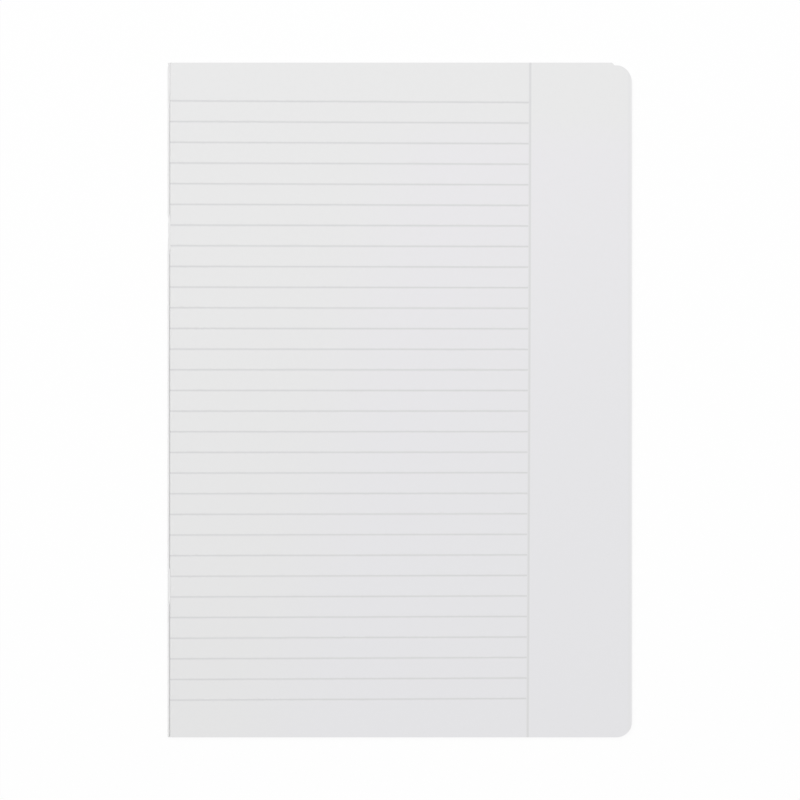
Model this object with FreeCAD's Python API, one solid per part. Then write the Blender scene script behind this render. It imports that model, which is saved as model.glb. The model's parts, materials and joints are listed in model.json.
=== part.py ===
"""A stapled exercise book with its front cover folded right round behind it.

Frame: +X from the spine to the fore-edge, +Y to the head of the page, +Z up out of the
first page. The origin is the middle of the underside. All sizes are in millimetres.

The book lies on its front cover. From the table up: front cover, back cover, pages.
The cover is one card. It meets the pages along the crease, halfway up the pages, and
each half of it runs from the crease along the spine before it turns out flat. Those
short runs are the lips. The front lip hangs beside the back lip here, and stands above
it when the book is shut.
"""

import FreeCAD, Part
import math
import os

from FreeCAD import Vector

# Driving dimensions
HEIGHT = 297.0              # head to tail
WIDTH = 204.5               # spine to fore-edge, over everything
LEAVES = 16                 # eight sheets, each folded once
LEAF_PITCH = 0.115          # one leaf with its share of air
LEAF = 0.1                  # one leaf alone
CARD = 0.25                 # cover card
GAP = 0.05                  # running gap between pieces that move
FOLD_ROOM = 0.3             # between the lips, as card folded right round doesn't close up
FOLD_RADIUS = 0.8           # pressed fold of the pages at the spine
CARD_BEND = 0.45            # outside radius where the back cover turns up the spine

FOOT_CORNER = 7.0           # rounded corner at the foot of the fore-edge
HEAD_CORNER = 6.8           # rounded corner at the head of the fore-edge, across the page
HEAD_CORNER_DOWN = 8.2      # the same corner down the page, where it is cut longer
NICK_DROP = 1.2             # the head corner's cutter sat this far below the head
NICK_RUN = 1.76             # length of the small step that it left
NICK_LAND = 0.6             # straight bit between that step and the round corner

WIRE = 0.5                  # staple wire
CROWN = 13.0                # staple's length over the wire, along the spine
WIRE_BEND = 0.5             # bend radius of the wire's centre line
CROWN_PULL = 0.25           # how far the pulled-tight crown sinks past the back lip's outside
SLOT_CLEAR = 0.1            # room in the lips at each end of a crown
TINE = 5.0                  # each folded-over leg, measured from the wire's far side
STAPLE_PLACES = {"staple_top": 0.252, "staple_bottom": 0.775}   # down from the head

# Worked out from those
PAGES_THICK = LEAVES * LEAF_PITCH
RIGHT = WIDTH / 2.0
LEFT = -RIGHT
HEAD = HEIGHT / 2.0
FOOT = -HEAD

FRONT_LOW = 0.0
BACK_LOW = FRONT_LOW + CARD + GAP
PAGES_LOW = BACK_LOW + CARD + GAP
PAGES_HIGH = PAGES_LOW + PAGES_THICK

CREASE_X = LEFT + CARD + FOLD_ROOM / 2.0        # hinge line between the two lips
CREASE_Z = (PAGES_LOW + PAGES_HIGH) / 2.0
BACK_LIP_LEFT = CREASE_X + FOLD_ROOM / 2.0
PAGES_LEFT = BACK_LIP_LEFT + CARD + GAP
LIP_TOP = CREASE_Z - GAP / 2.0

TURN_X = LEFT + CARD / 2.0                      # hinge line where the front lip turns out
TURN_Z = FRONT_LOW + CARD + GAP / 2.0
FRONT_LEFT = TURN_X + CARD / 2.0 + GAP
FRONT_RIGHT = RIGHT - 2.0 * (CREASE_X - TURN_X)  # flush with the pages when shut

CROWN_X = BACK_LIP_LEFT + CROWN_PULL + WIRE / 2.0
TINE_X = CROWN_X + WIRE + CARD + LEAVES / 2.0 * LEAF
SLOT_LOW = CREASE_Z - WIRE / 2.0 - GAP


def arc(centre, radius, start, end):
    """Arc in the XY plane, by its angles in degrees."""
    points = []
    for angle in (start, (start + end) / 2.0, end):
        turn = math.radians(angle)
        points.append(centre + Vector(math.cos(turn), math.sin(turn), 0) * radius)
    return Part.Arc(*points).toShape()


def long_arc(centre, across, down):
    """Quarter of an ellipse in the XY plane, from its top to its right-hand end."""
    top = centre + Vector(0, down, 0)
    right_end = centre + Vector(across, 0, 0)
    return Part.ArcOfEllipse(Part.Ellipse(top, right_end, centre), 0.0, math.pi / 2.0).toShape()


def line(start, end):
    return Part.LineSegment(start, end).toShape()


def outline(left, right, low):
    """Trimmed edge of a leaf or cover, as a face at height low."""
    step_radius = (NICK_RUN ** 2 + NICK_DROP ** 2) / (4.0 * NICK_DROP)
    step_turn = math.degrees(math.asin(NICK_RUN / (2.0 * step_radius)))
    shoulder = HEAD - NICK_DROP
    land_right = right - HEAD_CORNER
    land_left = land_right - NICK_LAND
    step_left = land_left - NICK_RUN

    foot_arc = arc(Vector(right - FOOT_CORNER, FOOT + FOOT_CORNER, low), FOOT_CORNER, -90, 0)
    head_arc = long_arc(Vector(land_right, shoulder - HEAD_CORNER_DOWN, low), HEAD_CORNER, HEAD_CORNER_DOWN)
    hollow = arc(Vector(land_left, shoulder + step_radius, low), step_radius, -90, -90 - step_turn)
    crest = arc(Vector(step_left, HEAD - step_radius, low), step_radius, 90 - step_turn, 90)

    edges = [
        line(Vector(left, HEAD, low), Vector(left, FOOT, low)),
        line(Vector(left, FOOT, low), Vector(right - FOOT_CORNER, FOOT, low)),
        foot_arc,
        line(Vector(right, FOOT + FOOT_CORNER, low), Vector(right, shoulder - HEAD_CORNER_DOWN, low)),
        head_arc,
        line(Vector(land_right, shoulder, low), Vector(land_left, shoulder, low)),
        hollow,
        crest,
        line(Vector(step_left, HEAD, low), Vector(left, HEAD, low)),
    ]
    return Part.Face(Part.Wire(Part.__sortEdges__(edges)))


def slab(left, right, low, thick):
    return outline(left, right, low).extrude(Vector(0, 0, thick))


def spine_box(left, low, wide, high, y_low=FOOT, y_high=HEAD):
    return Part.makeBox(wide, y_high - y_low, high, Vector(left, y_low, low))


def edges_along_y(shape, x, z):
    """The shape's straight edges that run along the spine at one X and Z."""
    found = []
    for edge in shape.Edges:
        ends = [vertex.Point for vertex in edge.Vertexes]
        if all(abs(end.x - x) < 1e-6 and abs(end.z - z) < 1e-6 for end in ends):
            found.append(edge)
    return found


def staple_y(share_down):
    return HEAD - share_down * HEIGHT


def staple_path(middle):
    """Centre line of one staple: crown outside the crease, legs in, tines folded together."""
    half = (CROWN - WIRE) / 2.0
    bend = WIRE_BEND
    path = []
    for side in (1.0, -1.0):
        tip = Vector(TINE_X, middle + side * (half + WIRE / 2.0 - TINE), CREASE_Z)
        inner = Vector(TINE_X, middle + side * half, CREASE_Z)
        outer = Vector(CROWN_X, middle + side * half, CREASE_Z)
        tine_end = inner - Vector(0, side * bend, 0)
        leg_in = inner - Vector(bend, 0, 0)
        leg_out = outer + Vector(bend, 0, 0)
        crown_end = outer - Vector(0, side * bend, 0)
        path.append((tip, tine_end, rounded(inner, tine_end, leg_in)))
        path.append((leg_in, leg_out, rounded(outer, leg_out, crown_end)))
    edges = []
    for start, end, bend_edge in path:
        edges.append(line(start, end))
        edges.append(bend_edge)
    edges.append(line(Vector(CROWN_X, middle + half - bend, CREASE_Z),
                      Vector(CROWN_X, middle - half + bend, CREASE_Z)))
    return Part.Wire(Part.__sortEdges__(edges))


def rounded(corner, start, end):
    """Quarter-circle that turns a square corner of the wire's path."""
    centre = start + end - corner
    middle = centre + (corner - centre).normalize() * WIRE_BEND
    return Part.Arc(start, middle, end).toShape()


def wire_solid(middle, radius):
    path = staple_path(middle)
    tip = Vector(TINE_X, middle + (CROWN / 2.0 - TINE), CREASE_Z)
    section = Part.Wire(Part.makeCircle(radius, tip, Vector(0, 1, 0)))
    return path.makePipeShell([section], True, True)


def staple(share_down):
    return wire_solid(staple_y(share_down), WIRE / 2.0)


def notched(lip, left):
    """The lip with a notch in its top for each crown, which is pulled in through the crease."""
    half = CROWN / 2.0 + SLOT_CLEAR
    for share_down in STAPLE_PLACES.values():
        middle = staple_y(share_down)
        lip = lip.cut(spine_box(left - GAP, SLOT_LOW, CARD + 2.0 * GAP, CREASE_Z - SLOT_LOW,
                                middle - half, middle + half))
    return lip


def crown_recess(share_down):
    """Room in the fold of the pages between the pulled-in crown and the spine."""
    half = (CROWN + GAP) / 2.0
    reach = (WIRE + GAP) / 2.0
    middle = staple_y(share_down)
    return spine_box(PAGES_LEFT - GAP, CREASE_Z - reach, CROWN_X - PAGES_LEFT + GAP, 2.0 * reach,
                     middle - half, middle + half)


def pages():
    """The sixteen leaves as one block, with the fold at the spine and the staples' channels."""
    block = slab(PAGES_LEFT, RIGHT, PAGES_LOW, PAGES_THICK)
    folds = edges_along_y(block, PAGES_LEFT, PAGES_LOW) + edges_along_y(block, PAGES_LEFT, PAGES_HIGH)
    block = block.makeFillet(FOLD_RADIUS, folds)
    for share_down in STAPLE_PLACES.values():
        block = block.cut(wire_solid(staple_y(share_down), (WIRE + GAP) / 2.0))
        block = block.cut(crown_recess(share_down))
    return block


def back_cover():
    """Flat half of the card under the pages, turned up the spine to the crease."""
    flat = slab(BACK_LIP_LEFT, RIGHT, BACK_LOW, CARD)
    lip = spine_box(BACK_LIP_LEFT, BACK_LOW, CARD, LIP_TOP - BACK_LOW)
    card = flat.fuse(lip).removeSplitter()
    card = card.makeFillet(CARD_BEND, edges_along_y(card, BACK_LIP_LEFT, BACK_LOW))
    inside = edges_along_y(card, BACK_LIP_LEFT + CARD, BACK_LOW + CARD)
    card = card.makeFillet(CARD_BEND - CARD, inside)
    return notched(card, BACK_LIP_LEFT)


def cover_spine():
    """Front lip, hanging from the crease to the turn above the front cover."""
    return notched(spine_box(LEFT, TURN_Z, CARD, LIP_TOP - TURN_Z), LEFT)


def front_cover():
    return slab(FRONT_LEFT, FRONT_RIGHT, FRONT_LOW, CARD)


def write(name, shape):
    solids = shape.Solids
    if len(solids) != 1 or not solids[0].isValid():
        raise ValueError(name + " is not one valid solid")
    solids[0].exportStep(os.path.join("parts", name + ".step"))
    box = solids[0].optimalBoundingBox()
    print("%-14s %9.1f mm3  x %.3f..%.3f  y %.2f..%.2f  z %.3f..%.3f" % (
        name, solids[0].Volume, box.XMin, box.XMax, box.YMin, box.YMax, box.ZMin, box.ZMax))


def main():
    os.makedirs("parts", exist_ok=True)
    write("pages", pages())
    write("back_cover", back_cover())
    write("cover_spine", cover_spine())
    write("front_cover", front_cover())
    for name, share_down in STAPLE_PLACES.items():
        write(name, staple(share_down))
    print("crease hinge x %.4f z %.4f, turn hinge x %.4f z %.4f" % (CREASE_X, CREASE_Z, TURN_X, TURN_Z))


main()
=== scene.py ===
"""An exercise book of eight folded sheets, stapled into a card cover.

The book lies open at its first page, with the front half of the cover folded right round
behind it. The pages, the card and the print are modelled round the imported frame, which
gives every place and size that moves. All lengths are in metres: +X runs from the spine to
the fore-edge, +Y to the head of the page and +Z up out of the first page.
"""

import json
import logging
import math
from collections.abc import Callable, Iterable
from dataclasses import dataclass
from enum import Enum, IntEnum

import bmesh
import bpy
from mathutils import Matrix, Vector


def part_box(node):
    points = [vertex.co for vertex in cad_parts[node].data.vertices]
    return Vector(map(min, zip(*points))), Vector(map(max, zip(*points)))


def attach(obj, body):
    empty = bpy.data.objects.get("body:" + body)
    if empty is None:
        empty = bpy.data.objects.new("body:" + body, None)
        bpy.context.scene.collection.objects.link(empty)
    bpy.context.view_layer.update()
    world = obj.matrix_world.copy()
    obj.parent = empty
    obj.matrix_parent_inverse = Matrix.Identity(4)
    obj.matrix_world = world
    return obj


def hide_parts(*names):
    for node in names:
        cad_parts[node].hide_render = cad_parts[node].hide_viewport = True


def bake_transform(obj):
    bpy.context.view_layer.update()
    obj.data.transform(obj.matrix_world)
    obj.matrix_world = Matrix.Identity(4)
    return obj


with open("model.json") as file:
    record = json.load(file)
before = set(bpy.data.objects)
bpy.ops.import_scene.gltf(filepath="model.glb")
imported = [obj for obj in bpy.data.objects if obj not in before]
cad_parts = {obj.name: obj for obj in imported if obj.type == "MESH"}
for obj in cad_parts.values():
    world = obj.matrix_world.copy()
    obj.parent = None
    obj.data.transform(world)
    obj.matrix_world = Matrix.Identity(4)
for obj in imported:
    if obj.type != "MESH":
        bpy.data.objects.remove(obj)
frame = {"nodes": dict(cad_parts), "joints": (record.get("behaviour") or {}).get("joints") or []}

MM = 0.001
TOUCH = 1e-7            # corners nearer than this are one corner
UPRIGHT = 0.02          # a face whose normal rises or falls less than this stands upright
SMOOTH_ANGLE = math.radians(35.0)
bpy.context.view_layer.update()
LOG = logging.getLogger("exercise_book")

Colour = tuple[float, float, float]
Triple = tuple[float, float, float]     # one number for each axis
Span = tuple[float, float]              # where something sets in and where it is full
WHITE: Colour = (1.0, 1.0, 1.0)
UP = Vector((0.0, 0.0, 1.0))
DOWN = -UP
ACROSS = Vector((1.0, 0.0, 0.0))        # from the spine to the fore-edge
ALONG = Vector((0.0, 1.0, 0.0))         # from the foot to the head
WIRE_ROOM = 0.53 * MM                   # a staple's wire with its clearance


class Skin(IntEnum):
    """Material places of a sheet with thickness: its built face, its far face and its cut edge."""

    FACE = 0
    BACK = 1
    EDGE = 2


class Body(str, Enum):
    """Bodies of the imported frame."""

    PAGES = "page_block"
    BACK = "back"
    SPINE = "spine"
    FRONT = "front"


# ---------------------------------------------------------------------------------------
# Shader maths


class Signal:
    """One output socket, with the arithmetic that adds Math nodes behind it."""

    def __init__(self, board: "Board", socket: bpy.types.NodeSocket) -> None:
        """Wraps a socket.

        Args:
            board: The node tree's maker.
            socket: The output that this signal stands for.
        """
        self.board = board
        self.socket = socket

    def _math(self, operation: str, first: object, second: object) -> "Signal":
        """Adds one Math node.

        Args:
            operation: Blender's name of the operation.
            first: A number or a signal.
            second: A number or a signal.

        Returns:
            The node's result.
        """
        return self.board.node("ShaderNodeMath", {"operation": operation}, {0: first, 1: second})

    def __add__(self, other: object) -> "Signal":
        """This plus other."""
        return self._math("ADD", self, other)

    def __radd__(self, other: object) -> "Signal":
        """Other plus this."""
        return self._math("ADD", other, self)

    def __sub__(self, other: object) -> "Signal":
        """This less other."""
        return self._math("SUBTRACT", self, other)

    def __rsub__(self, other: object) -> "Signal":
        """Other less this."""
        return self._math("SUBTRACT", other, self)

    def __mul__(self, other: object) -> "Signal":
        """This times other."""
        return self._math("MULTIPLY", self, other)

    def __rmul__(self, other: object) -> "Signal":
        """Other times this."""
        return self._math("MULTIPLY", other, self)

    def larger(self, other: object) -> "Signal":
        """The larger of the two."""
        return self._math("MAXIMUM", self, other)

    def about(self, middle: object, breadth: float) -> "Signal":
        """Brings a noise of 0 to 1 to another middle and breadth."""
        return middle + (self - 0.5) * breadth

    def ramp(self, start: float, end: float) -> "Signal":
        """Eases from 0 at start to 1 at end.

        Args:
            start: Value at which the result leaves 0.
            end: Value at which the result reaches 1.

        Returns:
            The eased share.
        """
        settings = {"interpolation_type": "SMOOTHSTEP"}
        return self.board.node("ShaderNodeMapRange", settings, {0: self, 1: start, 2: end})


@dataclass(frozen=True)
class Grain:
    """One pattern of noise in a material."""

    size: float                         # breadth of one blot
    detail: float = 2.0                 # how many finer layers are added
    rough: float = 0.5                  # how strong those layers are
    squeeze: Triple = (1.0, 1.0, 1.0)   # how many times narrower the blots are along each axis
    turn: float = 0.0                   # about Z, in radians
    span: Span = (0.0, 1.0)             # of the noise, over which a patch fades in
    share: float = 1.0                  # how strong a patch is


class Board:
    """The node tree of one material, or of the room."""

    def __init__(self, owner: bpy.types.Material | bpy.types.World) -> None:
        """Empties the owner's node tree.

        Args:
            owner: The material or the room.
        """
        self.owner = owner
        self.owner.use_nodes = True
        self.tree = self.owner.node_tree
        self.tree.nodes.clear()

    @classmethod
    def of(cls, name: str) -> "Board":
        """Starts a new material of that name."""
        return cls(bpy.data.materials.new(name))

    def node(self, kind: str, settings: dict[str, object], inputs: dict[int | str, object],
             output: int | str = 0) -> Signal:
        """Makes any node.

        Args:
            kind: Blender's class name of the node.
            settings: Its properties, which are set before its sockets.
            inputs: A value, a colour or a signal for each socket, by the socket's name or place.
            output: Name or place of the output that is wanted.

        Returns:
            That output.
        """
        made = self.tree.nodes.new(kind)
        for name, value in settings.items():
            setattr(made, name, value)
        for place, value in inputs.items():
            socket = made.inputs[place]
            if isinstance(value, Signal):
                self.tree.links.new(value.socket, socket)
            else:
                socket.default_value = (*value, 1.0) if socket.type == "RGBA" else value
        return Signal(self, made.outputs[output])

    def here(self) -> Signal:
        """Object coordinates."""
        return self.node("ShaderNodeTexCoord", {}, {}, "Object")

    def axes(self) -> tuple[Signal, Signal, Signal]:
        """The three object coordinates as numbers."""
        here = self.here()
        return tuple(self.node("ShaderNodeSeparateXYZ", {}, {0: here}, axis) for axis in "XYZ")

    def noise(self, grain: Grain) -> Signal:
        """Smooth noise from 0 to 1.

        Args:
            grain: Its pattern.

        Returns:
            The noise.
        """
        spread = {"Vector": self.here(), "Scale": grain.squeeze, "Rotation": (0.0, 0.0, grain.turn)}
        where = self.node("ShaderNodeMapping", {}, spread)
        inputs = {"Vector": where, "Scale": 1.0 / grain.size, "Detail": grain.detail,
                  "Roughness": grain.rough}
        return self.node("ShaderNodeTexNoise", {}, inputs)

    def patches(self, grain: Grain) -> Signal:
        """Noise that is 0 between its patches."""
        return self.noise(grain).ramp(*grain.span) * grain.share

    def blend(self, share: object, first: object, second: object) -> Signal:
        """Mixes two colours.

        Args:
            share: How much of the second shows, from 0 to 1.
            first: A colour or a signal.
            second: A colour or a signal.

        Returns:
            The mixed colour.
        """
        return self.node("ShaderNodeMix", {"data_type": "RGBA"}, {0: share, 6: first, 7: second}, 2)

    def bump(self, height: Signal, strength: float, depth: float) -> Signal:
        """Turns a height into a normal.

        Args:
            height: The relief, where 1 stands depth above 0.
            strength: Share of the relief that shows.
            depth: Height of the relief, in metres.

        Returns:
            The normal.
        """
        inputs = {"Height": height, "Strength": strength, "Distance": depth}
        return self.node("ShaderNodeBump", {}, inputs)

    def seen_straight(self) -> Signal:
        """Tells the eye's rays from those that carry a surface's light.

        Returns:
            1 where the eye sees the surface itself, in a mirror or through glass, and 0 elsewhere.
        """
        rays = ("Is Camera Ray", "Is Glossy Ray", "Is Transmission Ray")
        seen, mirrored, through = (self.node("ShaderNodeLightPath", {}, {}, ray) for ray in rays)
        return seen.larger(mirrored).larger(through)

    def surface(self, **sockets: object) -> bpy.types.Material:
        """Ends the tree in one Principled surface.

        Args:
            **sockets: Its sockets by name, with an underscore for each space.

        Returns:
            The material.
        """
        inputs = {name.replace("_", " "): value for name, value in sockets.items()}
        return self.finish(self.node("ShaderNodeBsdfPrincipled", {}, inputs))

    def finish(self, shader: Signal, kind: str = "Material") -> bpy.types.Material | bpy.types.World:
        """Links a shader to the output.

        Args:
            shader: The surface's shader, or the room's.
            kind: Material or World.

        Returns:
            The owner of the tree.
        """
        end = self.tree.nodes.new("ShaderNodeOutput" + kind)
        self.tree.links.new(shader.socket, end.inputs["Surface"])
        return self.owner


# ---------------------------------------------------------------------------------------
# Finishes


FIBRES = Grain(0.22 * MM, rough=0.6, squeeze=(1.0, 0.35, 1.0), turn=0.5)    # of writing paper


@dataclass(frozen=True)
class PaperFinish:
    """Smooth, uncoated writing paper with a faint cloudy formation and painted shade, with a darker band and
    a lighter rim along the fore-edge.
    """

    fore_edge: float
    name: str = "writing_paper"
    light: Colour = (0.815, 0.815, 0.815)
    light_cool: Colour = (0.819, 0.811, 0.829)
    # The darker colours are the paper painted in shade, as it would look further from the key lamp.
    dark: Colour = (0.801, 0.801, 0.802)
    painted_shade_cool: Colour = (0.800, 0.798, 0.815)
    painted_shade_slant: float = 0.55                    # rise of the painted shade's edge for each metre along X
    painted_shade_span: Span = (0.12, -0.10)
    cool_slant: float = 0.215                   # run of the cool part's edge for each metre along Y
    cool_across: Span = (-0.055, 0.005)
    cool_below: Span = (0.130, 0.105)
    cloud: Colour = (0.792, 0.792, 0.795)
    clouds: Grain = Grain(2.6 * MM, 3.0, 0.55, span=(0.35, 0.8), share=0.22)
    # A darker band just in from the fore-edge, and a lighter rim at the edge itself.
    fore_edge_band: Colour = (0.776, 0.776, 0.782)
    fore_edge_band_share: float = 0.55
    fore_edge_band_outer: Span = (0.3 * MM, 0.9 * MM)  # in from the fore-edge, as the next two
    fore_edge_band_inner: Span = (2.3 * MM, 1.6 * MM)
    fore_edge_rim_span: Span = (0.65 * MM, 0.35 * MM)
    fore_edge_rim: Colour = (0.85, 0.85, 0.855)
    felt: Grain = Grain(0.9 * MM)
    fibre_share: float = 0.6                    # of the relief. The rest is felt.
    relief: float = 0.012 * MM
    relief_share: float = 0.25
    roughness: float = 0.72
    roughness_breadth: float = 0.10
    specular: float = 0.3

    def material(self) -> bpy.types.Material:
        """Builds the material with painted shade: a little darker towards the foot and cooler towards the
        fore-edge.

        Returns:
            The material.
        """
        board = Board.of(self.name)
        x, y, _ = board.axes()
        # Painted shade: darker towards the foot and the lower right, cooler towards the fore-edge.
        painted_shade_share = (y - self.painted_shade_slant * x).ramp(*self.painted_shade_span)
        cool = (x - self.cool_slant * y).ramp(*self.cool_across) * y.ramp(*self.cool_below)
        light = board.blend(cool, self.light, self.light_cool)
        tone = board.blend(painted_shade_share, light, board.blend(cool, self.dark, self.painted_shade_cool))
        inside = self.fore_edge - x
        # Darker band just in from the fore-edge, then a lighter rim at the edge.
        fore_edge_band_mask = inside.ramp(*self.fore_edge_band_outer) * inside.ramp(*self.fore_edge_band_inner)
        tone = board.blend(fore_edge_band_mask * self.fore_edge_band_share, tone, self.fore_edge_band)
        tone = board.blend(inside.ramp(*self.fore_edge_rim_span), tone, self.fore_edge_rim)
        colour = board.blend(board.patches(self.clouds), tone, self.cloud)
        fibres = board.noise(FIBRES)
        height = fibres * self.fibre_share + board.noise(self.felt) * (1.0 - self.fibre_share)
        return board.surface(Base_Color=colour,
                             Roughness=fibres.about(self.roughness, self.roughness_breadth),
                             Normal=board.bump(height, self.relief_share, self.relief),
                             Specular_IOR_Level=self.specular)


@dataclass(frozen=True)
class PaperEdgeFinish:
    """Guillotined edge of a leaf: a little whiter and furrier than its face."""

    name: str = "paper_edge"
    light: Colour = (0.83, 0.83, 0.83)
    dark: Colour = (0.74, 0.74, 0.75)
    drag: Grain = Grain(0.8 * MM, squeeze=(0.15, 0.15, 2.0), span=(0.45, 0.8), share=0.6)
    fur: Grain = Grain(0.12 * MM, rough=0.6, squeeze=(1.0, 1.0, 3.0))
    relief: float = 0.02 * MM
    relief_share: float = 0.5
    roughness: float = 0.85
    specular: float = 0.2

    def material(self) -> bpy.types.Material:
        """Builds the material.

        Returns:
            The material.
        """
        board = Board.of(self.name)
        relief = board.bump(board.noise(self.fur), self.relief_share, self.relief)
        return board.surface(Base_Color=board.blend(board.patches(self.drag), self.light, self.dark),
                             Roughness=self.roughness, Normal=relief, Specular_IOR_Level=self.specular)


@dataclass(frozen=True)
class CardFinish:
    """One face of the cover card, calendered smooth."""

    name: str
    tone: Colour
    shade: Colour
    roughness: float = 0.6
    clouds: Grain = Grain(3.5 * MM, 3.0, 0.55, span=(0.35, 0.75), share=0.35)
    grain: Grain = Grain(0.5 * MM, rough=0.55, squeeze=(1.0, 0.5, 1.0))
    grain_roughness: float = 0.12
    polish: Grain = Grain(4.0 * MM, 3.0, 0.6, (1.0, 0.12, 1.0), turn=0.7, span=(0.62, 0.8), share=0.06)
    relief: float = 0.015 * MM
    relief_share: float = 0.3
    specular: float = 0.35

    def material(self) -> bpy.types.Material:
        """Builds the material.

        Returns:
            The material.
        """
        board = Board.of(self.name)
        grain = board.noise(self.grain)
        rough = grain.about(self.roughness, self.grain_roughness) - board.patches(self.polish)
        return board.surface(Base_Color=board.blend(board.patches(self.clouds), self.tone, self.shade),
                             Roughness=rough, Normal=board.bump(grain, self.relief_share, self.relief),
                             Specular_IOR_Level=self.specular)


@dataclass(frozen=True)
class InkFinish:
    """Pale grey ruling ink, soaked a little into the paper."""

    name: str
    colour: Colour
    relief: float = 0.012 * MM
    relief_share: float = 0.2
    roughness: float = 0.66             # between the fibres
    fibre_roughness: float = 0.12
    specular: float = 0.3

    def material(self) -> bpy.types.Material:
        """Builds the material.

        Returns:
            The material.
        """
        board = Board.of(self.name)
        fibres = board.noise(FIBRES)
        return board.surface(Base_Color=self.colour,
                             Roughness=self.roughness + fibres * self.fibre_roughness,
                             Normal=board.bump(fibres, self.relief_share, self.relief),
                             Specular_IOR_Level=self.specular)


@dataclass(frozen=True)
class WireFinish:
    """Galvanised staple wire with drawing lines along it."""

    name: str = "staple_wire_zinc"
    bright: Colour = (0.66, 0.66, 0.67)
    dull: Colour = (0.48, 0.48, 0.50)
    bloom: Grain = Grain(0.7 * MM, 3.0, 0.6, span=(0.35, 0.75))
    bloom_share: float = 0.7
    bloom_roughness: float = 0.18
    lines: Grain = Grain(0.5 * MM, 3.0, 0.6, (9.0, 0.6, 9.0))
    line_roughness: float = 0.15
    relief: float = 0.01 * MM
    relief_share: float = 0.35
    roughness: float = 0.3

    def material(self) -> bpy.types.Material:
        """Builds the material.

        Returns:
            The material.
        """
        board = Board.of(self.name)
        bloom = board.patches(self.bloom)
        lines = board.noise(self.lines)
        rough = lines.about(self.roughness + bloom * self.bloom_roughness, self.line_roughness)
        return board.surface(Base_Color=board.blend(bloom * self.bloom_share, self.bright, self.dull),
                             Metallic=1.0, Roughness=rough,
                             Normal=board.bump(lines, self.relief_share, self.relief))


@dataclass(frozen=True)
class FloorFinish:
    """Pale tabletop that the eye sees white, apart from what the book shades."""

    name: str = "pale_floor"
    colour: Colour = (0.95, 0.95, 0.95)
    lit_share: float = 0.92             # share of plain white that the eye sees
    fade: Span = (0.8, 6.0)             # from the book, over which the floor fades into the room

    def material(self) -> bpy.types.Material:
        """Builds the material.

        Returns:
            The material.
        """
        board = Board.of(self.name)
        table = board.node("ShaderNodeBsdfDiffuse", {}, {"Color": self.colour})
        white = board.node("ShaderNodeEmission", {}, {"Color": WHITE})
        away = board.node("ShaderNodeVectorMath", {"operation": "LENGTH"}, {0: board.here()}, "Value")
        faded = away.ramp(*self.fade) * (1.0 - self.lit_share)
        share = board.seen_straight() * (faded + self.lit_share)
        return board.finish(board.node("ShaderNodeMixShader", {}, {0: share, 1: table, 2: white}))


# ---------------------------------------------------------------------------------------
# Scene and mesh work


def in_scene(name: str, data: bpy.types.ID) -> bpy.types.Object:
    """Puts data into the scene as an object.

    Args:
        name: The object's name.
        data: A mesh, a light or a camera.

    Returns:
        The object, at the origin.
    """
    made = bpy.data.objects.new(name, data)
    bpy.context.scene.collection.objects.link(made)
    return made


def everything(bm: bmesh.types.BMesh) -> list:
    """All of a mesh's corners, edges and faces."""
    return bm.verts[:] + bm.edges[:] + bm.faces[:]


def cut(bm: bmesh.types.BMesh, places: Iterable[float], axis: int) -> None:
    """Cuts a mesh across at each place on one axis.

    Args:
        bm: The mesh.
        places: Where the cuts go.
        axis: 0, 1 or 2 for X, Y or Z.
    """
    normal = (ACROSS, ALONG, UP)[axis]
    for place in places:
        bmesh.ops.bisect_plane(bm, geom=everything(bm), dist=TOUCH, plane_co=normal * place, plane_no=normal)


def edges_at(bm: bmesh.types.BMesh, axis: int, place: float) -> list[bmesh.types.BMEdge]:
    """Finds the edges that lie at one place on an axis.

    Args:
        bm: The mesh.
        axis: 0, 1 or 2 for X, Y or Z.
        place: The coordinate that both ends have.

    Returns:
        Those edges.
    """
    return [e for e in bm.edges if all(abs(v.co[axis] - place) < TOUCH for v in e.verts)]


def only(kind: type, found: list) -> list:
    """The members of one kind in an operator's result."""
    return [item for item in found if isinstance(item, kind)]


def pull(bm: bmesh.types.BMesh, edges: list, step: Vector) -> list[bmesh.types.BMEdge]:
    """Draws edges out into a strip of faces.

    Args:
        bm: The mesh.
        edges: The edges to draw out.
        step: Which way and how far.

    Returns:
        The edges at the strip's far side.
    """
    made = bmesh.ops.extrude_edge_only(bm, edges=edges)["geom"]
    bmesh.ops.translate(bm, verts=only(bmesh.types.BMVert, made), vec=step)
    ends = set(only(bmesh.types.BMVert, made))
    return [e for e in only(bmesh.types.BMEdge, made) if all(v in ends for v in e.verts)]


def turn(bm: bmesh.types.BMesh, edges: list, axis_at: Vector, angle: float, steps: int) -> list:
    """Sweeps edges round a line along Y.

    Args:
        bm: The mesh.
        edges: The edges to sweep.
        axis_at: A point on the line.
        angle: How far, in radians. From the left side up over the top is positive.
        steps: How many strips of faces the sweep has.

    Returns:
        The edges at its end.
    """
    made = bmesh.ops.spin(bm, geom=edges, cent=axis_at, axis=ALONG, dvec=(0.0, 0.0, 0.0),
                          angle=angle, steps=steps, use_duplicate=False)
    return only(bmesh.types.BMEdge, made["geom_last"])


def mirror_below(bm: bmesh.types.BMesh, level: float) -> None:
    """Adds the mirror image of a mesh below a level, joined to it there.

    Args:
        bm: The mesh.
        level: Height of the mirror.
    """
    bmesh.ops.translate(bm, verts=bm.verts[:], vec=DOWN * level)
    bmesh.ops.mirror(bm, geom=everything(bm), matrix=Matrix.Identity(4), merge_dist=TOUCH, axis="Z")
    bmesh.ops.translate(bm, verts=bm.verts[:], vec=UP * level)


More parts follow.
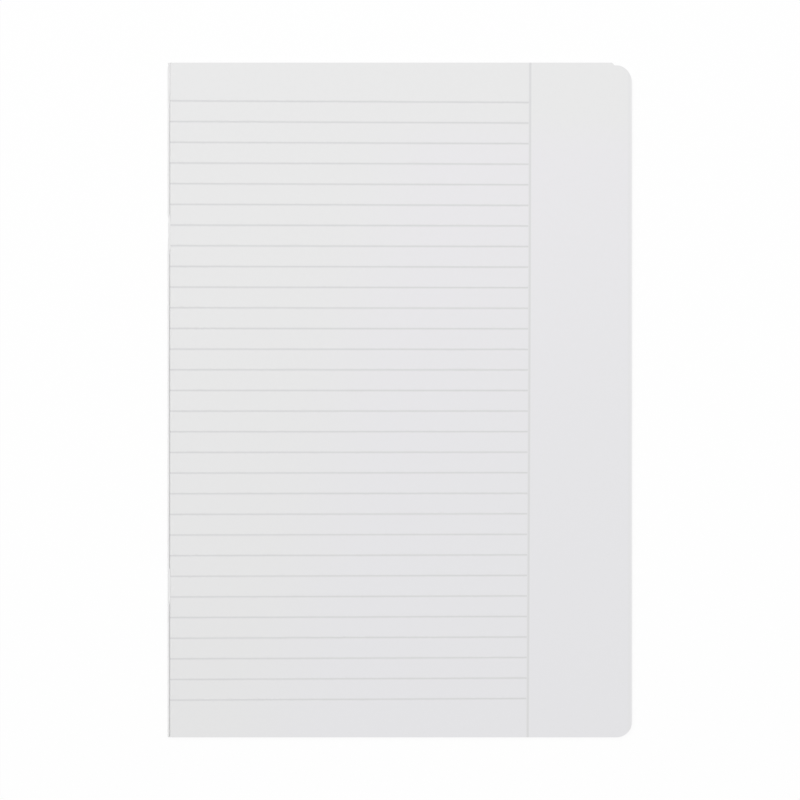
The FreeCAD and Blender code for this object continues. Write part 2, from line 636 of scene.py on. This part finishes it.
def face_outwards(bm: bmesh.types.BMesh) -> None:
    """Makes the faces agree, with the topmost one looking up.

    Args:
        bm: The mesh.
    """
    bmesh.ops.remove_doubles(bm, verts=bm.verts[:], dist=TOUCH)
    bmesh.ops.recalc_face_normals(bm, faces=bm.faces[:])
    top = max(bm.faces, key=lambda face: face.calc_center_median().z + abs(face.normal.z))
    if top.normal.z < 0.0:
        bmesh.ops.reverse_faces(bm, faces=bm.faces[:])


def face_outwards_each(bm: bmesh.types.BMesh, middle: float) -> None:
    """Turns every loose strip so that it looks away from the paper.

    Args:
        bm: Strips that lie on both sides of a folded sheet, or wrap round its fold.
        middle: Height of the fold's middle.
    """
    bmesh.ops.remove_doubles(bm, verts=bm.verts[:], dist=TOUCH)
    bmesh.ops.recalc_face_normals(bm, faces=bm.faces[:])
    wrong = []
    for face in bm.faces:
        above = face.calc_center_median().z - middle
        outward = above * face.normal.z if abs(face.normal.z) > UPRIGHT else -face.normal.x
        if outward < 0.0:
            wrong.append(face)
    bmesh.ops.reverse_faces(bm, faces=wrong)


def solid_piece(bm: bmesh.types.BMesh, name: str, thickness: float,
                materials: Iterable[bpy.types.Material], printed: bool = False) -> bpy.types.Object:
    """Ends a mesh as an object whose faces have gained thickness behind them.

    Args:
        bm: The mesh, which is freed.
        name: The object's name.
        thickness: How thick the sheet is.
        materials: What its built face, its far face and its cut edge wear.
        printed: Whether each face already has its own material, which goes right through.

    Returns:
        The object, at the origin.
    """
    skin = bpy.data.meshes.new(name)
    bm.to_mesh(skin)
    bm.free()
    piece = in_scene(name, skin)
    for material in materials:
        skin.materials.append(material)
    wall = piece.modifiers.new("thickness", "SOLIDIFY")
    wall.thickness = thickness
    wall.offset = -1.0
    wall.use_even_offset = True
    wall.material_offset = Skin.FACE if printed else Skin.BACK
    wall.material_offset_rim = Skin.FACE if printed else Skin.EDGE
    ready = bpy.context.evaluated_depsgraph_get()
    piece.data = bpy.data.meshes.new_from_object(piece.evaluated_get(ready), depsgraph=ready)
    piece.modifiers.clear()
    piece.data.name = name
    piece.data.shade_smooth()
    piece.data.set_sharp_from_angle(angle=SMOOTH_ANGLE)
    return piece


def ease(value: float, start: float, end: float) -> float:
    """Eases from 0 at start to 1 at end.

    Args:
        value: Where to look.
        start: Where the result leaves 0.
        end: Where the result reaches 1.

    Returns:
        The eased share.
    """
    t = min(1.0, max(0.0, (value - start) / (end - start)))
    return t * t * (3.0 - 2.0 * t)


@dataclass(frozen=True)
class Trim:
    """Trimmed outline that the leaves and both halves of the cover share."""

    head: float
    foot: float
    head_corner: float = 6.8 * MM   # across the page
    head_corner_down: float = 8.2 * MM
    foot_corner: float = 7.0 * MM
    step_drop: float = 1.2 * MM     # the head corner's cutter sat this far below the head
    step_run: float = 1.76 * MM     # the small S-shaped step that it left
    step_land: float = 0.6 * MM
    step_slack: float = 0.98        # of the room for each bend of the step, so that they don't meet
    corner_steps: int = 14
    step_steps: int = 6

    def flat(self, left: float, right: float, level: float) -> bmesh.types.BMesh:
        """Makes the flat part of a leaf as one face.

        Args:
            left: Where its fold begins.
            right: Its fore-edge.
            level: Its height.

        Returns:
            A mesh with that face, which looks up.
        """
        shoulder = self.head - self.step_drop
        radius = (self.step_run ** 2 + self.step_drop ** 2) / (4.0 * self.step_drop)
        lean = math.asin(self.step_run / (2.0 * radius))
        reach = radius * math.tan(lean / 2.0)
        middle = right - self.head_corner - self.step_land - self.step_run / 2.0
        bm = bmesh.new()
        ring = [bm.verts.new((x, y, level)) for x, y in (
            (left, self.head),
            (left, self.foot),
            (right, self.foot),
            (right, shoulder),
            (middle + reach * math.cos(lean), shoulder),
            (middle - reach * math.cos(lean), self.head),
        )]
        bm.faces.new(ring)
        self._round(bm, ring[2], self.foot_corner, self.corner_steps)
        self._round(bm, ring[3], self.head_corner, self.corner_steps)
        self._lengthen(bm, Vector((right, shoulder, level)))
        for corner in ring[4:]:
            self._round(bm, corner, self.step_slack * reach, self.step_steps)
        return bm

    def _lengthen(self, bm: bmesh.types.BMesh, corner: Vector) -> None:
        """Stretches the head corner's round down the page.

        Args:
            bm: The mesh.
            corner: Where the corner was before it was rounded.
        """
        reach = self.head_corner + TOUCH
        near = [v for v in bm.verts if corner.x - v.co.x < reach and corner.y - v.co.y < reach]
        stretch = Vector((1.0, self.head_corner_down / self.head_corner, 1.0))
        bmesh.ops.scale(bm, verts=near, vec=stretch, space=Matrix.Translation(-corner))

    def _round(self, bm: bmesh.types.BMesh, corner: bmesh.types.BMVert, radius: float, steps: int) -> None:
        """Rounds one corner of the outline."""
        bmesh.ops.bevel(bm, geom=[corner], offset=radius, offset_type="OFFSET", segments=steps,
                        profile=0.5, affect="VERTICES", clamp_overlap=False, material=-1)


# ---------------------------------------------------------------------------------------
# The spine's own shape


@dataclass(frozen=True)
class Draw:
    """How one staple draws the spine in over the length of its crown."""

    low: float                      # foot end of the crown
    high: float                     # head end of the crown
    back: float                     # how far the back lip and the folds go in
    bulge: float                    # how much the crease swells up over the crown
    squeeze: float                  # how much the front lip is pressed thinner
    swell: Span                     # down from the crown's head end, over which the swelling sets in
    ease_low: float = 2.5 * MM
    ease_high: float = 1.5 * MM
    full: float = 0.2 * MM          # how far inside the crown's ends the draw is full
    past: float = 1.0 * MM          # how far past the crown's ends the front lip is pressed
    loose: float = 6.0 * MM         # over which the pressing wears off towards the foot

    def share(self, y: float) -> float:
        """How much of the draw is felt at one place along the spine.

        Args:
            y: The place.

        Returns:
            From 0 to 1.
        """
        rising = ease(y, self.low - self.ease_low, self.low + self.full)
        falling = ease(y, self.high + self.ease_high, self.high - self.full)
        return rising * falling

    def swelled(self, y: float) -> float:
        """How much the crease swells up at one place along the spine."""
        return self.bulge * self.share(y) * ease(self.high - y, *self.swell)

    def pressed(self, y: float) -> float:
        """How much thinner the front lip is at one place along the spine.

        Args:
            y: The place.

        Returns:
            The lost thickness.
        """
        rising = ease(y, self.low - self.past, self.low - self.past + self.loose)
        falling = ease(y, self.high + self.past, self.high)
        return self.squeeze * rising * falling


@dataclass(frozen=True)
class Spine:
    """Places of the spine's parts, with what the staples do to them."""

    foot: float
    head: float
    crease: Vector                  # on the axis that both lips meet at
    card: float                     # thickness of the cover card
    draws: tuple[Draw, ...]
    lip_gap: float = 0.30 * MM      # between the two lips
    head_squeeze: float = 0.14 * MM
    head_worn: float = 3.0 * MM     # length over which that sets in
    upper_lean: float = 0.12 * MM   # how far the crease leans on the pages in its upper half
    upper: Span = (15.0 * MM, 75.0 * MM)
    head_lean: float = 0.13 * MM    # how much further it does so near the head
    near_head: Span = (26.0 * MM, 8.0 * MM)     # down from the head
    swell: float = 0.8              # how much it rises for each unit that it leans
    row: float = 6.0 * MM           # spacing of the cuts across the spine's parts
    fine_row: float = 0.5 * MM      # spacing round the staples
    head_row: float = 1.0 * MM      # spacing at the head
    head_rows: int = 5

    def lean(self, y: float) -> float:
        """How far the crease leans on the pages at one place along the spine."""
        near_head = self.head_lean * ease(self.head - y, *self.near_head)
        return self.upper_lean * ease(y, *self.upper) + near_head

    def back_in(self, y: float) -> float:
        """How far the staples draw the back lip in at one place along the spine."""
        return sum(draw.back * draw.share(y) for draw in self.draws)

    def pressed(self, y: float) -> float:
        """How much thinner the front lip is at one place along the spine."""
        worn = self.head_squeeze * ease(y, self.head - self.head_worn, self.head)
        return worn + sum(draw.pressed(y) for draw in self.draws)

    def bulge(self, y: float) -> float:
        """How much the crease swells up over the staples at one place along the spine."""
        return sum(draw.swelled(y) for draw in self.draws)

    def rows(self) -> list[float]:
        """Places along the spine at which its parts are cut.

        Returns:
            The places, from foot to head.
        """
        fine = self.fine_row
        count = round((self.head - self.foot) / self.row)
        found = [self.foot + (self.head - self.foot) * i / count for i in range(1, count)]
        for draw in self.draws:
            low = draw.low - draw.ease_low
            high = draw.high + draw.ease_high
            steps = round((high - low) / fine)
            found = [y for y in found if not low - fine < y < high + fine]
            found += [low + (high - low) * i / steps for i in range(steps + 1)]
        found += [self.head - i * self.head_row for i in range(1, self.head_rows + 1)]
        return sorted(found)


def spine_line(x: float, z: float, spine: Spine, short: float = 0.0) -> bmesh.types.BMesh:
    """Starts a mesh with one line along the spine, cut at the spine's rows.

    Args:
        x: Where the line stands.
        z: How high it stands.
        spine: The spine.
        short: How much the line stops short of each end.

    Returns:
        The mesh.
    """
    bm = bmesh.new()
    bm.edges.new([bm.verts.new((x, y, z)) for y in (spine.foot + short, spine.head - short)])
    cut(bm, spine.rows(), 1)
    return bm


# ---------------------------------------------------------------------------------------
# Pages


@dataclass
class PageBlock:
    """The sixteen leaves: eight sheets, each folded once and laid inside the one before."""

    trim: Trim
    spine: Spine
    low: Vector                     # lowest corner of the pages
    high: Vector                    # highest corner of the pages
    sheets: int = 8
    paper: float = 0.10 * MM
    fold: float = 0.8 * MM          # corner radius of the outermost fold
    tightest: float = 0.11 * MM     # corner radius of the innermost folds
    fold_steps: int = 10
    give: float = 0.25              # how much the folds give way to the crease that leans on them
    reach: float = 6.5 * MM         # how far from the fold the staples' pull is felt
    reach_rows: int = 4             # cuts over that stretch
    felt: Span = (0.85 * MM, 0.2 * MM)  # up or down from the centre fold, over which it sets in
    stray: float = 0.02 * MM        # step between the fore-edges of neighbouring sheets
    strays: int = 3                 # sheets after which the steps repeat

    @property
    def pitch(self) -> float:
        """One leaf with its share of air."""
        return (self.high.z - self.low.z) / (2 * self.sheets)

    @property
    def middle(self) -> float:
        """Height of the centre fold."""
        return (self.high.z + self.low.z) / 2.0

    def radius(self, index: int) -> float:
        """Corner radius of one sheet's fold."""
        return max(self.fold - index * self.pitch, self.tightest)

    def drawn_in(self, place: Vector) -> float:
        """How far the staples pull a point of the folds in.

        Args:
            place: The point.

        Returns:
            The distance towards the fore-edge.
        """
        up = ease(abs(place.z - self.middle), *self.felt)
        along = ease(place.x, self.low.x + self.reach, self.low.x)
        return (self.spine.back_in(place.y) + self.give * self.spine.lean(place.y)) * up * along

    def sheet(self, index: int, face: bpy.types.Material, edge: bpy.types.Material) -> bpy.types.Object:
        """Builds one folded sheet.

        Args:
            index: 0 for the outermost, which carries the first page.
            face: What its two faces wear.
            edge: What its cut edges wear.

        Returns:
            The sheet.
        """
        inset = index * self.pitch
        radius = self.radius(index)
        top = self.high.z - inset
        left = self.low.x + inset + radius
        right = self.high.x - self.stray * (index % self.strays)
        bm = self.trim.flat(left, right, top)
        cut(bm, self.spine.rows(), 1)
        cut(bm, [self.low.x + self.reach * (i + 1) / self.reach_rows for i in range(self.reach_rows)], 0)
        edges = turn(bm, edges_at(bm, 0, left), Vector((left, 0.0, top - radius)),
                     -math.pi / 2.0, self.fold_steps)
        if top - radius - self.middle > TOUCH:
            pull(bm, edges, DOWN * (top - radius - self.middle))
        mirror_below(bm, self.middle)
        face_outwards(bm)
        for vert in bm.verts:
            vert.co.x += self.drawn_in(vert.co)
        piece = solid_piece(bm, f"sheet_{index + 1:02d}", self.paper, (face, face, edge))
        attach(piece, Body.PAGES.value)
        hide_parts("pages")
        return piece

    def build(self) -> list[bpy.types.Object]:
        """Builds every sheet.

        Returns:
            The sheets, from the outermost.
        """
        face = PaperFinish(self.high.x).material()
        edge = PaperEdgeFinish().material()
        return [self.sheet(index, face, edge) for index in range(self.sheets)]


@dataclass
class Ruling:
    """Print on the outermost sheet: feint lines from the fold to a margin near the fore-edge."""

    pages: PageBlock
    lines: int = 30
    centre: float = -0.21 * MM      # height of the middle of the ruled field
    half_field: float = 131.85 * MM  # from there to the last line, near the spine
    fan: float = 0.00455            # how much less that is, for each metre towards the margin
    fan_from: float = -88.0 * MM
    bow: float = 0.13 * MM          # how far the print's middle strays, down the page and outwards
    margin_head: float = 57.38 * MM
    margin_foot: float = 56.24 * MM
    bands: tuple[float, ...] = (0.13 * MM, 0.30 * MM, 0.50 * MM)    # half breadth of each ink
    margin_breadth: float = 1.25    # breadth of the margin over a ruled line's
    margin_ink: int = 1             # darkest ink that the margin has
    film: float = 0.008 * MM
    lift: float = 0.010 * MM        # of the film's outside over the paper
    margin_lift: float = 0.020 * MM  # the margin is printed over the ruled lines' ends
    inks: tuple[InkFinish, ...] = (
        InkFinish("ruling_ink", (0.673, 0.673, 0.680)),
        InkFinish("ruling_ink_soft", (0.717, 0.717, 0.723)),
        InkFinish("ruling_ink_faint", (0.767, 0.767, 0.771)),
    )

    def margin_x(self, y: float) -> float:
        """Finds where the margin line stands.

        Args:
            y: A height of the page.

        Returns:
            The place of its middle at that height.
        """
        trim = self.pages.trim
        share = (y - trim.foot) / (trim.head - trim.foot)
        strayed = self.bow * (1.0 - (2.0 * share - 1.0) ** 2)
        return self.margin_foot + (self.margin_head - self.margin_foot) * share + strayed

    def line_y(self, share: float, x: float) -> float:
        """Height of one ruled line.

        Args:
            share: 1 for the topmost line, down to -1 for the lowest.
            x: Where along the line.

        Returns:
            The height at its middle.
        """
        strayed = self.bow * (1.0 - share ** 2)
        return self.centre - strayed + share * (self.half_field - self.fan * (x - self.fan_from))

    def chain(self, bm: bmesh.types.BMesh, place: Vector, across: Vector) -> list[bmesh.types.BMEdge]:
        """Starts a line with the short edges of its bands.

        Args:
            bm: The mesh.
            place: The line's end.
            across: Vector across the line, as long as the line's breadth over a ruled line's.

        Returns:
            The edges.
        """
        offsets = [-band for band in reversed(self.bands)] + list(self.bands)
        verts = [bm.verts.new(place + across * offset) for offset in offsets]
        return [bm.edges.new(pair) for pair in zip(verts, verts[1:])]

    def rule(self, bm: bmesh.types.BMesh, share: float) -> None:
        """Draws one ruled line over the first page and half the fold.

        Args:
            bm: The mesh.
            share: 1 for the topmost line, down to -1 for the lowest.
        """
        block = self.pages
        level = block.high.z + self.lift
        radius = block.radius(0)
        fold_x = block.low.x + radius
        near = self.line_y(share, 0.0)
        end_x = self.margin_x(near)
        start = Vector((end_x, self.line_y(share, end_x), level))
        reach = Vector((fold_x - end_x, self.line_y(share, fold_x) - start.y, 0.0))
        edges = pull(bm, self.chain(bm, start, ALONG), reach)
        axis = Vector((fold_x, 0.0, block.high.z - radius))
        edges = turn(bm, edges, axis, -math.pi / 2.0, block.fold_steps)
        pull(bm, edges, DOWN * (axis.z - block.middle))

    def paint(self, bm: bmesh.types.BMesh, middle_of: Callable[[Vector], float], axis: int,
              breadth: float = 1.0, darkest: int = 0) -> None:
        """Gives each band of every line its ink.

        Args:
            bm: The mesh.
            middle_of: Tells the coordinate of the middle of the line that a point is on.
            axis: The axis of that coordinate.
            breadth: The line's breadth over a ruled line's.
            darkest: Place of the darkest ink that the line has.
        """
        for face in bm.faces:
            place = face.calc_center_median()
            aside = abs(place[axis] - middle_of(place)) / breadth
            face.material_index = max(darkest, sum(aside > band for band in self.bands[:-1]))

    def nearest_line(self, place: Vector) -> float:
        """Height of the ruled line that a point is on.

        Args:
            place: The point.

        Returns:
            The height of the line's middle there.
        """
        x = max(place.x, self.pages.low.x + self.pages.radius(0))
        step = 2.0 / (self.lines - 1)
        half = self.half_field - self.fan * (x - self.fan_from)
        share = round(((place.y - self.centre) / half + 1.0) / step) * step - 1.0
        return self.line_y(share, x)

    def finish_print(self, bm: bmesh.types.BMesh, name: str, inks: list) -> bpy.types.Object:
        """Repeats the print on the last page and gives it its inks.

        Args:
            bm: The mesh of the first page's print.
            name: The piece's name.
            inks: The materials of the inks.

        Returns:
            The print of both pages.
        """
        mirror_below(bm, self.pages.middle)
        face_outwards_each(bm, self.pages.middle)
        for vert in bm.verts:
            vert.co.x += self.pages.drawn_in(vert.co)
        piece = solid_piece(bm, name, self.film, inks, printed=True)
        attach(piece, Body.PAGES.value)
        return piece

    def build(self) -> list[bpy.types.Object]:
        """Draws the ruled lines and the margins of the first and the last page.

        Returns:
            The lines and the margins.
        """
        inks = [ink.material() for ink in self.inks]
        bm = bmesh.new()
        for index in range(self.lines):
            self.rule(bm, 1.0 - 2.0 * index / (self.lines - 1))
        self.paint(bm, self.nearest_line, 1)
        ruled = self.finish_print(bm, "ruled_lines", inks)
        trim = self.pages.trim
        bm = bmesh.new()
        foot = Vector((0.0, trim.foot, self.pages.high.z + self.margin_lift))
        pull(bm, self.chain(bm, foot, ACROSS * self.margin_breadth), ALONG * (trim.head - trim.foot))
        cut(bm, self.pages.spine.rows(), 1)
        for vert in bm.verts:
            vert.co.x += self.margin_x(vert.co.y)
        self.paint(bm, lambda place: self.margin_x(place.y), 0, self.margin_breadth, self.margin_ink)
        return [ruled, self.finish_print(bm, "margin_lines", inks)]


# ---------------------------------------------------------------------------------------
# Cover


@dataclass
class Cover:
    """The card cover, made as five pieces that meet where the card bends."""

    trim: Trim
    spine: Spine
    back_low: Vector
    back_high: Vector
    front_low: Vector
    front_high: Vector
    bend: float = 0.45 * MM         # outside radius where the back half turns up the spine
    turn_radius: float = 0.05 * MM  # inside radius where the front lip turns out flat
    bend_steps: int = 12
    tail: float = 0.01 * MM         # short straight run at each end of a bend
    recess: float = 0.02 * MM       # by which the crease stops short of the lips' ends
    lip_rows: int = 4               # strips that the back lip has
    flat_rows: tuple[float, ...] = (2.0 * MM, 4.0 * MM)     # cuts of the flat card, from the bend
    give: float = 0.3 * MM          # how far from the bend the flat card feels the staples' pull
    still: float = 0.15 * MM        # height over the card's underside at which the pull sets in
    taut: float = 0.3 * MM          # depth under the crease at which it is full
    outside: CardFinish = CardFinish("card_outside", (0.63, 0.635, 0.65), (0.60, 0.605, 0.62))
    inside: CardFinish = CardFinish("card_inside", (0.82, 0.82, 0.82), (0.80, 0.80, 0.805))
    core: CardFinish = CardFinish("card_edge", (0.80, 0.80, 0.80), (0.72, 0.72, 0.73), roughness=0.85)
    skins: tuple[bpy.types.Material, ...] = ()      # by Skin, once they are made

    @property
    def back_face(self) -> float:
        """X of the back lip's outside."""
        return self.spine.crease.x + self.spine.lip_gap / 2.0

    @property
    def front_face(self) -> float:
        """X of the front lip's outside, which looks at the back lip."""
        return self.spine.crease.x - self.spine.lip_gap / 2.0

    @property
    def lip_top(self) -> float:
        """Height at which both lips end and the crease begins."""
        return self.spine.crease.z - self.tail

    @property
    def lip_foot(self) -> float:
        """Height at which the front lip ends and the turn begins."""
        return self.front_high.z + self.turn_radius + self.tail

    def _end(self, bm: bmesh.types.BMesh, name: str, way: Vector,
             shift: Callable[[Vector], Vector] | None = None) -> bpy.types.Object:
        """Ends one piece of card, whose built face is the cover's outside.

        Args:
            bm: The mesh of its outside.
            name: The piece's name.
            way: Where that outside looks on its broadest stretch.
            shift: How far each point of the plain card moves, where the staples draw it.

        Returns:
            The piece.
        """
        bmesh.ops.recalc_face_normals(bm, faces=bm.faces[:])
        lead = max(bm.faces, key=lambda face: abs(face.normal.dot(way)) * face.calc_area())
        if lead.normal.dot(way) < 0.0:
            bmesh.ops.reverse_faces(bm, faces=bm.faces[:])
        piece = solid_piece(bm, name, self.spine.card, self.skins)
        for vert in piece.data.vertices:
            if shift is not None:
                vert.co += shift(vert.co)
            depth = (self.front_face - vert.co.x) / self.spine.card
            vert.co.x += self.spine.pressed(vert.co.y) * min(1.0, max(0.0, depth))
        return piece

    def _back_shift(self, place: Vector) -> Vector:
        """How far the staples draw a point of the back half's lip in.

        Args:
            place: The point.

        Returns:
            The move.
        """
        near = ease(place.x, self.back_face + self.bend + self.give, self.back_face + self.spine.card)
        up = ease(place.z, self.back_low.z + self.still, self.spine.crease.z - self.taut)
        return ACROSS * (self.spine.back_in(place.y) * up * near)

    def _crease_shift(self, place: Vector) -> Vector:
        """How far a point of the plain round crease moves over a crown and onto the pages.

        Args:
            place: The point, which only moves on the back lip's side of the hinge line.

        Returns:
            The move.
        """
        aside = place.x - self.spine.crease.x
        if aside <= TOUCH:
            return Vector()
        up = max(0.0, place.z - self.spine.crease.z)
        angle = math.atan2(up, aside)
        depth = (math.hypot(up, aside) - self.spine.lip_gap / 2.0) / self.spine.card
        flank = math.sin(2.0 * angle) ** 2
        lean = self.spine.lean(place.y) * depth * flank
        rise = self.spine.bulge(place.y) * flank + self.spine.swell * lean
        return Vector((self.spine.back_in(place.y) * math.cos(angle) ** 2 + lean, 0.0, rise))

    def back_half(self) -> bpy.types.Object:
        """Makes the flat card under the pages, turned up the spine as far as the crease.

        Returns:
            The piece.
        """
        left = self.back_face + self.bend
        axis = Vector((left, 0.0, self.back_low.z + self.bend))
        bm = self.trim.flat(left, self.back_high.x, self.back_low.z)
        cut(bm, self.spine.rows(), 1)
        cut(bm, [left + row for row in self.flat_rows], 0)
        edges = turn(bm, edges_at(bm, 0, left), axis, math.pi / 2.0, self.bend_steps)
        for _ in range(self.lip_rows):
            edges = pull(bm, edges, UP * ((self.lip_top - axis.z) / self.lip_rows))
        piece = self._end(bm, "back_cover_card", DOWN, self._back_shift)
        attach(piece, Body.BACK.value)
        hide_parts("back_cover")
        return piece

    def crease(self) -> bpy.types.Object:
        """Makes the bend over the crease, from the back lip to the front lip.

        Returns:
            The piece.
        """
        axis = self.spine.crease
        bm = spine_line(self.back_face, self.lip_top, self.spine, self.recess)
        edges = pull(bm, bm.edges[:], UP * self.tail)
        edges = turn(bm, edges, axis, -math.pi, 2 * self.bend_steps)
        pull(bm, edges, DOWN * self.tail)
        piece = self._end(bm, "cover_crease", DOWN, self._crease_shift)
        aside = ACROSS * (self.spine.lip_gap / 2.0)
        axis + aside
        axis - aside
        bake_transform(piece)
        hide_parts("cover_spine")
        return piece

    def front_lip(self) -> bpy.types.Object:
        """Makes the run of card from the crease down to where it turns out flat.

        Returns:
            The piece.
        """
        bm = spine_line(self.front_face, self.lip_top, self.spine)
        pull(bm, bm.edges[:], DOWN * (self.lip_top - self.lip_foot))
        piece = self._end(bm, "front_lip", ACROSS)
        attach(piece, Body.SPINE.value)
        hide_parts("cover_spine")
        return piece

    def turn_out(self) -> bpy.types.Object:
        """Makes the bend from the front lip into the flat front half.

        Returns:
            The piece.
        """
        top = self.front_high.z + self.turn_radius
        axis = Vector((self.front_face + self.turn_radius, 0.0, top))
        bm = spine_line(self.front_face, self.lip_foot, self.spine)
        edges = pull(bm, bm.edges[:], DOWN * self.tail)
        edges = turn(bm, edges, axis, -math.pi / 2.0, self.bend_steps)
        pull(bm, edges, ACROSS * self.tail)
        piece = self._end(bm, "cover_turn", UP)
        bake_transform(piece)
        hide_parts("cover_spine")
        return piece

    def front_half(self) -> bpy.types.Object:
        """Makes the flat front half, which lies under the back half here.

        Returns:
            The piece.
        """
        bm = self.trim.flat(self.front_low.x + self.tail, self.front_high.x, self.front_high.z)
        cut(bm, self.spine.rows(), 1)
        piece = self._end(bm, "front_cover_card", UP)
        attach(piece, Body.FRONT.value)
        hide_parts("front_cover")
        return piece

    def build(self) -> list[bpy.types.Object]:
        """Makes the card's materials and its five pieces.

        Returns:
            The pieces.
        """
        self.skins = tuple(finish.material() for finish in (self.outside, self.inside, self.core))
        return [self.back_half(), self.crease(), self.front_lip(), self.turn_out(), self.front_half()]


# ---------------------------------------------------------------------------------------
# Staples, studio and camera


@dataclass
class Staples:
    """The two wire staples, which keep the frame's own shapes."""

    nodes: tuple[str, ...] = ("staple_top", "staple_bottom")
    finish: WireFinish = WireFinish()

    def build(self) -> list[bpy.types.Object]:
        """Gives the staples their wire.

        Returns:
            The staples.
        """
        wire = self.finish.material()
        found = [frame["nodes"][name] for name in self.nodes]
        for node in found:
            node.data.materials.clear()
            node.data.materials.append(wire)
        return found


@dataclass(frozen=True)
class Lamp:
    """One soft square lamp that looks at the book."""

    name: str
    place: Triple
    size: float                     # length of its side
    power: float                    # in watts
    colour: Colour = WHITE

    def build(self) -> bpy.types.Object:
        """Hangs the lamp.

        Returns:
            The lamp.
        """
        light = bpy.data.lights.new(self.name, "AREA")
        light.shape = "SQUARE"
        light.size = self.size
        light.energy = self.power
        light.color = self.colour
        lamp = in_scene(self.name, light)
        lamp.location = self.place
        lamp.rotation_mode = "QUATERNION"
        lamp.rotation_quaternion = (-lamp.location).to_track_quat("-Z", "Y")
        return lamp


@dataclass
class Studio:
    """Pale floor, soft light from above and a camera that looks straight down."""

    top: float                      # height of the page that the camera is set for
    across: float = 352.16 * MM     # width of the view at that height
    distance: float = 1.6
    sensor: float = 36.0
    floor_drop: float = 0.2 * MM
    floor_half: float = 20.0
    ambient: float = 0.46
    aside: float = 0.05 * MM        # by which the view's middle stands right of the book's
    lamps: tuple[Lamp, ...] = (
        Lamp("key", (-0.35, 0.75, 1.9), size=1.2, power=20.06),
        Lamp("fill", (0.7, -0.5, 1.9), size=1.4, power=6.69, colour=(0.99, 0.99, 1.0)),
    )

    def floor(self) -> bpy.types.Object:
        """Lays the floor just under the book.

        Returns:
            The floor.
        """
        bm = bmesh.new()
        bmesh.ops.create_grid(bm, x_segments=1, y_segments=1, size=self.floor_half)
        bmesh.ops.translate(bm, verts=bm.verts[:], vec=DOWN * self.floor_drop)
        mesh = bpy.data.meshes.new("floor")
        bm.to_mesh(mesh)
        bm.free()
        mesh.materials.append(FloorFinish().material())
        table = in_scene("floor", mesh)
        return table

    def world(self) -> None:
        """Fills the room with even light that the eye sees as white."""
        board = Board(bpy.data.worlds.new("room"))
        soft, white = (board.node("ShaderNodeBackground", {}, {"Strength": strength, "Color": WHITE})
                       for strength in (self.ambient, 1.0))
        inputs = {0: board.seen_straight(), 1: soft, 2: white}
        bpy.context.scene.world = board.finish(board.node("ShaderNodeMixShader", {}, inputs), "World")

    def camera(self) -> bpy.types.Object:
        """Sets the camera straight above the middle of the book.

        Returns:
            The camera.
        """
        lens = bpy.data.cameras.new("camera")
        lens.sensor_width = self.sensor
        lens.lens = self.sensor * self.distance / self.across
        eye = in_scene("camera", lens)
        eye.location = (self.aside, 0.0, self.top + self.distance)
        bpy.context.scene.camera = eye
        return eye

    def build(self) -> list[bpy.types.Object]:
        """Builds the studio.

        Returns:
            The floor, the lamps and the camera.
        """
        bpy.context.scene.view_settings.view_transform = "Standard"
        self.world()
        return [self.floor(), *(lamp.build() for lamp in self.lamps), self.camera()]


def joint_place(name: str) -> Vector:
    """Where a joint's axis stands in the frame."""
    return Vector(next(joint["pos_m"] for joint in frame["joints"] if joint["name"] == name))


def crown_draw(node: str, bulge: float, squeeze: float, swell: Span) -> Draw:
    """Works out what one staple does to the spine.

    Args:
        node: The staple's node.
        bulge: How much the crease swells up over its crown.
        squeeze: How much thinner it presses the front lip.
        swell: Where that swelling sets in and is full, down from the crown's head end.

    Returns:
        The draw over its crown.
    """
    low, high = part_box(node)
    back = low.x + WIRE_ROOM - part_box("back_cover")[0].x
    return Draw(low.y, high.y, back, bulge, squeeze, swell)


def main() -> None:
    """Builds the book in order and reports each piece."""
    logging.basicConfig(level=logging.INFO, format="%(name)s: %(message)s")
    pages_low, pages_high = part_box("pages")
    back_low, back_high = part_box("back_cover")
    front_low, front_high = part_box("front_cover")
    trim = Trim(head=pages_high.y, foot=pages_low.y)
    spine = Spine(
        foot=pages_low.y,
        head=pages_high.y,
        crease=joint_place("crease_turn"),
        card=front_high.z - front_low.z,
        draws=(
            crown_draw("staple_top", bulge=0.32 * MM, squeeze=0.20 * MM, swell=(0.5 * MM, 4.5 * MM)),
            crown_draw("staple_bottom", bulge=0.10 * MM, squeeze=0.0, swell=(-1.5 * MM, 0.0)),
        ),
    )
    pages = PageBlock(trim, spine, pages_low, pages_high)
    cover = Cover(trim, spine, back_low, back_high, front_low, front_high)
    for maker in (pages, Ruling(pages), cover, Staples(), Studio(top=pages_high.z)):
        for piece in maker.build():
            LOG.info("%s: %s", type(maker).__name__, piece.name)


if __name__ == "__main__":
    main()
